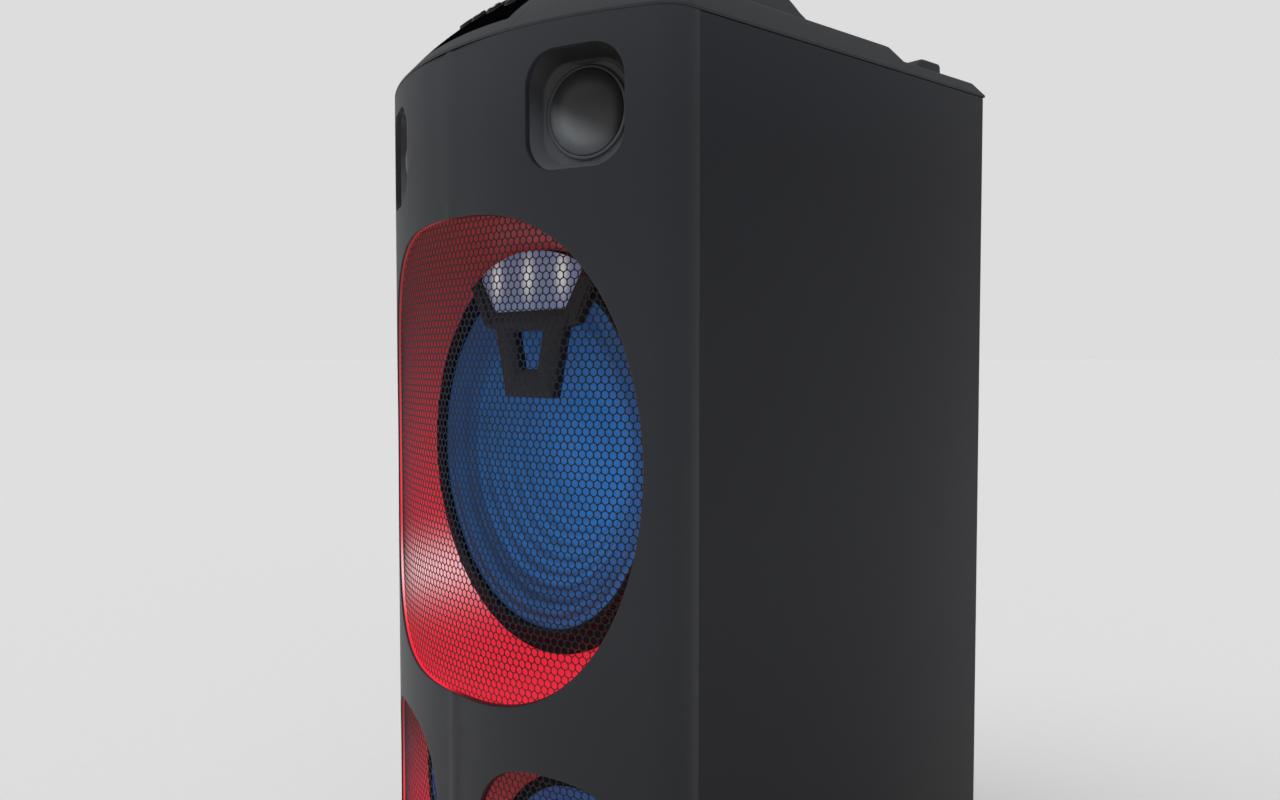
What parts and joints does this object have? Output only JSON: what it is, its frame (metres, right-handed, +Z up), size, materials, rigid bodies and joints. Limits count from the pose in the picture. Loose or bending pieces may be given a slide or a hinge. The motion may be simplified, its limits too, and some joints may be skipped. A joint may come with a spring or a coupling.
{
  "type": "party speaker",
  "caption": "Tall bow-fronted party speaker with a lit grille, tweeter pockets, a console on its lid and a rear carry bar.",
  "frame": {"origin": "bottom centre of the bounding box, on the floor under the feet", "axes": "+Z up, -Y towards the listener out of the bowed front, +X to the right seen from the front"},
  "size_m": [0.33, 0.3714, 0.7462],
  "materials": {
    "casing": "satin",
    "cabinet": "satin",
    "board": "raw",
    "rubber": "matte",
    "mesh": "satin",
    "glow": "translucent, lit from behind",
    "trim": "satin",
    "cone": "satin, lit blue",
    "steel": "plated",
    "ferrite": "matte",
    "copper": "wound wire",
    "cloth": "woven",
    "gloss": "gloss",
    "lens": "frosted",
    "circuit": "board",
    "dome": "gloss",
    "key": "satin"
  },
  "bodies": {
    "cabinet": {"amplifier_board": "circuit", "baffle_board": "board", "base_plinth": "cabinet", "cabinet_shell": "cabinet", "carry_handle": "casing", "console_frame": "casing", "control_board": "circuit", "control_fascia": "gloss", "display_window": "gloss", "foot_front_left": "rubber", "foot_front_right": "rubber", "foot_rear_left": "rubber", "foot_rear_right": "rubber", "front_shell": "casing", "glow_dish_lower_left": "glow", "glow_dish_lower_right": "glow", "glow_dish_upper": "glow", "grille_lower_left": "mesh", "grille_lower_right": "mesh", "grille_upper": "mesh", "handle_cup": "trim", "mid_basket_left": "trim", "mid_basket_right": "trim", "mid_magnet_left": "ferrite", "mid_magnet_right": "ferrite", "mid_surround_left": "rubber", "mid_surround_right": "rubber", "port_tube": "trim", "power_inlet": "trim", "rear_panel": "cabinet", "socket_plate": "trim", "strobe_board": "circuit", "strobe_bracket": "trim", "strobe_lens": "lens", "top_cover": "casing", "tweeter_cup_left": "casing", "tweeter_cup_right": "casing", "tweeter_motor_left": "trim", "tweeter_motor_right": "trim", "woofer_basket": "steel", "woofer_bezel": "trim", "woofer_magnet": "ferrite", "woofer_spider": "cloth", "woofer_surround": "rubber", "woofer_top_plate": "steel", "woofer_yoke": "steel"},
    "woofer_moving": {"woofer_cone": "cone", "woofer_dust_cap": "cone", "woofer_voice_coil": "copper"},
    "mid_moving_left": {"mid_cone_left": "cone"},
    "tweeter_moving_left": {"tweeter_dome_left": "dome"},
    "mid_moving_right": {"mid_cone_right": "cone"},
    "tweeter_moving_right": {"tweeter_dome_right": "dome"},
    "power_key": {"button_power": "key"},
    "previous_key": {"button_previous": "key"},
    "play_key": {"button_play": "key"},
    "next_key": {"button_next": "key"},
    "light_key": {"button_light": "key"},
    "volume": {"volume_knob": "trim"},
    "mic_level": {"mic_knob": "trim"}
  },
  "joints": [
    {"name": "woofer_travel", "type": "slide", "parent": "cabinet", "child": "woofer_moving", "axis": [0, -1, 0], "range_m": [-0.005, 0.005], "stiffness_N_per_m": 2500, "deforming": ["woofer_surround", "woofer_spider"]},
    {"name": "mid_travel_left", "type": "slide", "parent": "cabinet", "child": "mid_moving_left", "axis": [-0.2921, -0.9564, 0], "range_m": [-0.003, 0.003], "stiffness_N_per_m": 900, "deforming": ["mid_surround_left"]},
    {"name": "tweeter_travel_left", "type": "slide", "parent": "cabinet", "child": "tweeter_moving_left", "axis": [-0.3533, -0.9355, 0], "range_m": [-0.0003, 0.0003], "stiffness_N_per_m": 300},
    {"name": "mid_travel_right", "type": "slide", "parent": "cabinet", "child": "mid_moving_right", "axis": [0.2921, -0.9564, 0], "range_m": [-0.003, 0.003], "stiffness_N_per_m": 900, "deforming": ["mid_surround_right"]},
    {"name": "tweeter_travel_right", "type": "slide", "parent": "cabinet", "child": "tweeter_moving_right", "axis": [0.3533, -0.9355, 0], "range_m": [-0.0003, 0.0003], "stiffness_N_per_m": 300},
    {"name": "press_power", "type": "slide", "parent": "cabinet", "child": "power_key", "axis": [0.096, 0.6204, -0.7784], "range_m": [0, 0.0012], "stiffness_N_per_m": 400, "springref_m": -0.0005},
    {"name": "press_previous", "type": "slide", "parent": "cabinet", "child": "previous_key", "axis": [0.0482, 0.626, -0.7784], "range_m": [0, 0.0012], "stiffness_N_per_m": 400, "springref_m": -0.0005},
    {"name": "press_play", "type": "slide", "parent": "cabinet", "child": "play_key", "axis": [0, 0.6278, -0.7784], "range_m": [0, 0.0012], "stiffness_N_per_m": 400, "springref_m": -0.0005},
    {"name": "press_next", "type": "slide", "parent": "cabinet", "child": "next_key", "axis": [-0.0482, 0.626, -0.7784], "range_m": [0, 0.0012], "stiffness_N_per_m": 400, "springref_m": -0.0005},
    {"name": "press_light", "type": "slide", "parent": "cabinet", "child": "light_key", "axis": [-0.096, 0.6204, -0.7784], "range_m": [0, 0.0012], "stiffness_N_per_m": 400, "springref_m": -0.0005},
    {"name": "volume_turn", "type": "hinge", "parent": "cabinet", "child": "volume", "pos_m": [0, -0.03, 0.73372], "axis": [0, 0, 1], "continuous": true},
    {"name": "mic_level_turn", "type": "hinge", "parent": "cabinet", "child": "mic_level", "pos_m": [0, 0.014, 0.73372], "axis": [0, 0, 1], "range_deg": [-150, 150]}
  ]
}
